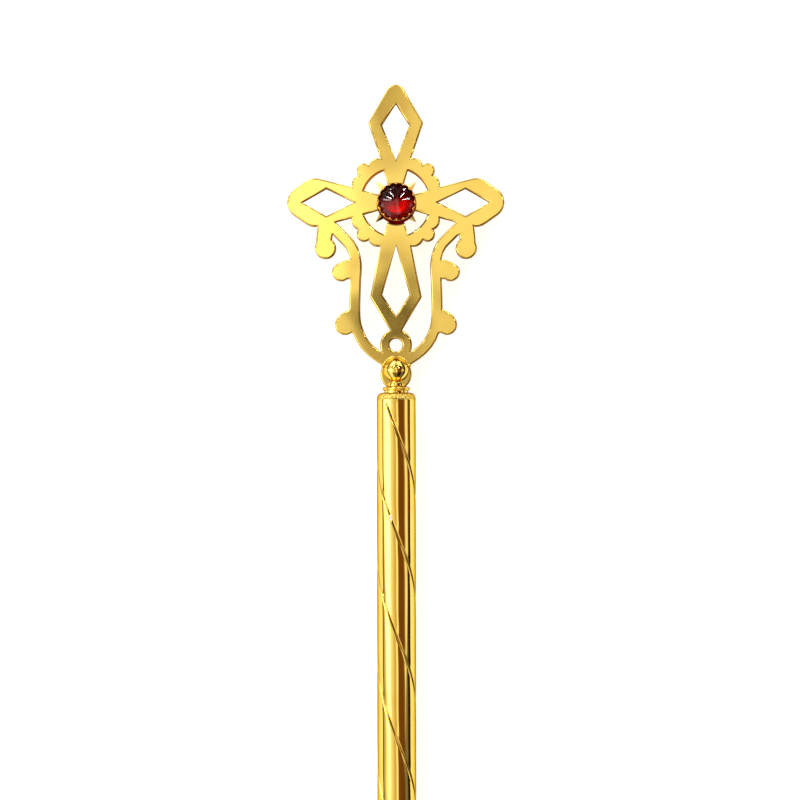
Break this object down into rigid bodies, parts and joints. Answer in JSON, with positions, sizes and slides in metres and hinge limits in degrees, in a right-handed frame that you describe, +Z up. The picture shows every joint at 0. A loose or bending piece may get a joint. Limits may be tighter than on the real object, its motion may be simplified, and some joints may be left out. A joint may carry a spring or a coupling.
{
  "type": "crosier",
  "caption": "Gilt ceremonial crosier lying on its back: openwork cross head with scrolls and a round red stone, on a spiral-grooved tube staff.",
  "frame": {"origin": "centre of the bounding box's base, on the surface that the staff lies on", "axes": "+Y along the staff towards the tip of the cross, +Z up out of the head's front face, +X to the right as seen from the front"},
  "size_m": [0.0892, 0.5574, 0.0174],
  "materials": {
    "gilt_tube": "polished gold plate",
    "gilt_casting": "polished gold plate",
    "gilt_setting": "reddish gold plate",
    "red_glass": "cut and polished, foiled back"
  },
  "bodies": {
    "root": {"staff_tube": "gilt_tube", "head_socket": "gilt_casting", "cross_plate": "gilt_casting", "star_mount": "gilt_setting", "crown_cup": "gilt_setting", "red_stone": "red_glass", "end_plug": "gilt_tube"}
  },
  "joints": []
}
